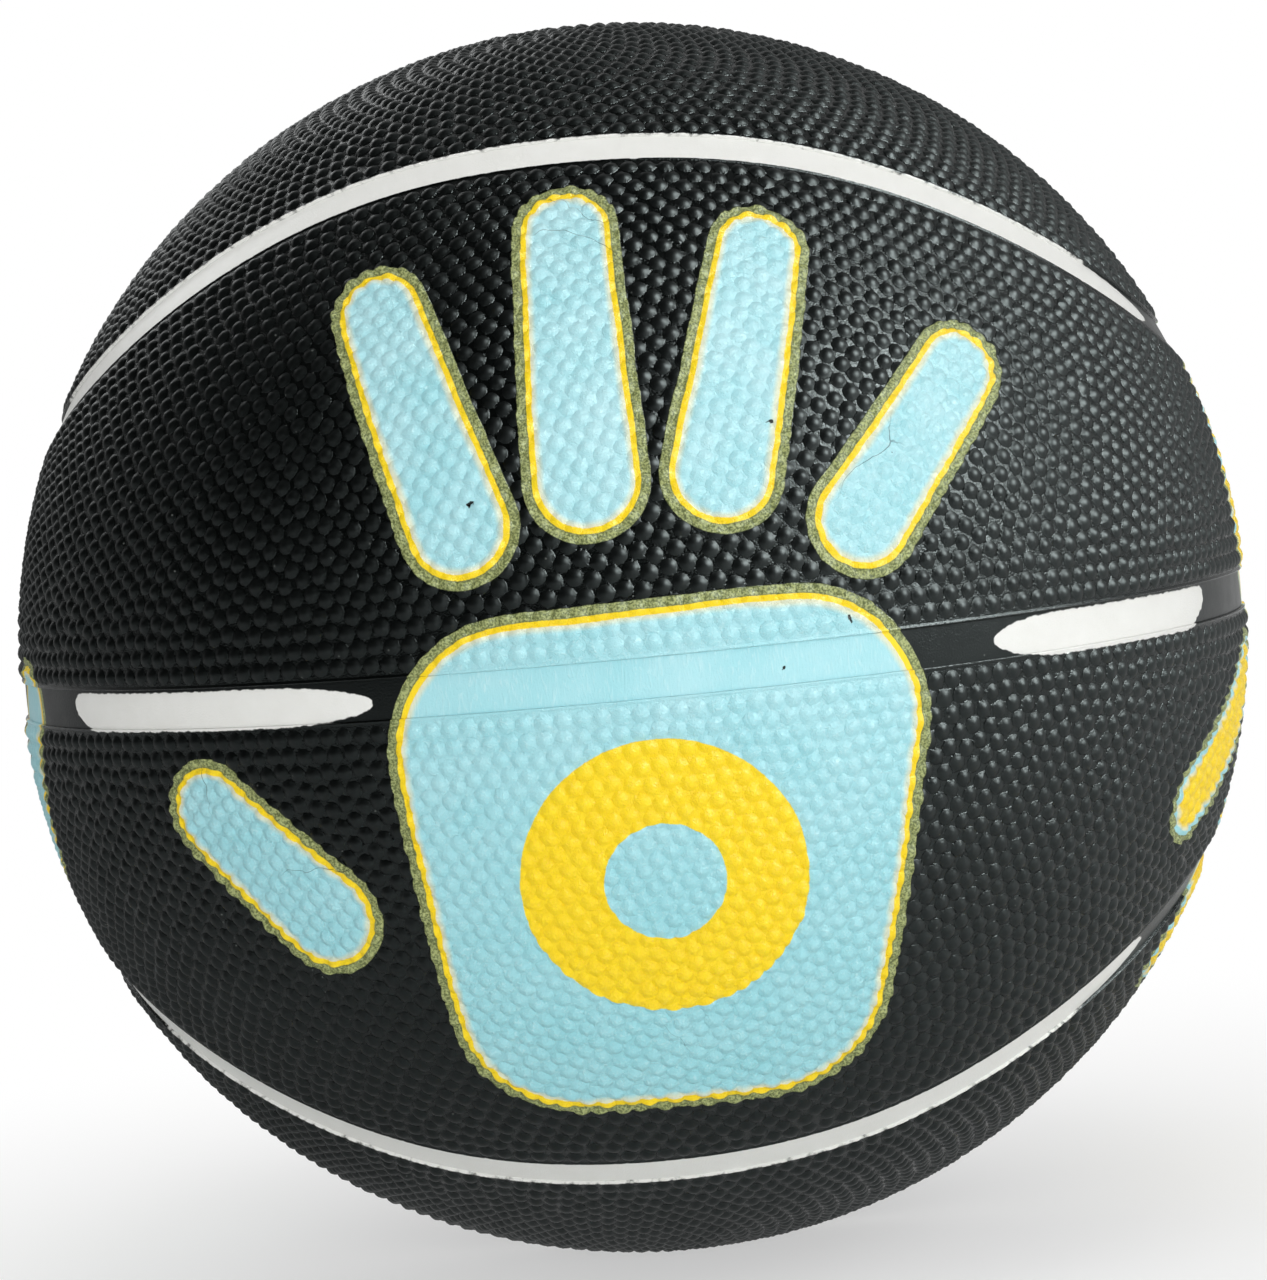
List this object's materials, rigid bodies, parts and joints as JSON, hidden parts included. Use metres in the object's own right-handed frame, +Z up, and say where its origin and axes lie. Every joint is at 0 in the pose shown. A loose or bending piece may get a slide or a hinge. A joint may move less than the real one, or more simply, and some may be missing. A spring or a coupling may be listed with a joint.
{
  "type": "basketball",
  "caption": "Black rubber mini basketball for training, with pebbled panels, recessed channels, a wound carcass and bladder inside, and a needle valve at the top",
  "frame": {"origin": "centre of the ball", "axes": "+Z up through the valve, -Z towards the floor the ball stands on, -Y towards the front panels, +X to the right seen from the front"},
  "size_m": [0.1778, 0.178, 0.1773],
  "materials": {
    "cover_rubber": "moulded pebble grain, satin",
    "line_white": "painted channel floor",
    "line_black": "smooth satin",
    "carcass_rubber": "matt",
    "winding_nylon": "wound thread set in latex",
    "bladder_butyl": "smooth",
    "valve_rubber": "smooth"
  },
  "bodies": {
    "root": {"upper_front_panel": "cover_rubber", "upper_rear_panel": "cover_rubber", "lower_front_panel": "cover_rubber", "lower_rear_panel": "cover_rubber", "top_front_panel": "cover_rubber", "top_rear_panel": "cover_rubber", "bottom_front_panel": "cover_rubber", "bottom_rear_panel": "cover_rubber", "centre_channel_strip": "line_black", "upper_loop_strip": "line_white", "lower_loop_strip": "line_white", "upper_left_strip": "line_white", "upper_right_strip": "line_white", "lower_left_strip": "line_white", "lower_right_strip": "line_white", "top_left_strip": "line_white", "top_right_strip": "line_white", "bottom_strip": "line_white", "carcass": "carcass_rubber", "thread_winding": "winding_nylon", "bladder": "bladder_butyl", "valve_housing": "valve_rubber", "valve_plug": "valve_rubber"}
  },
  "joints": []
}
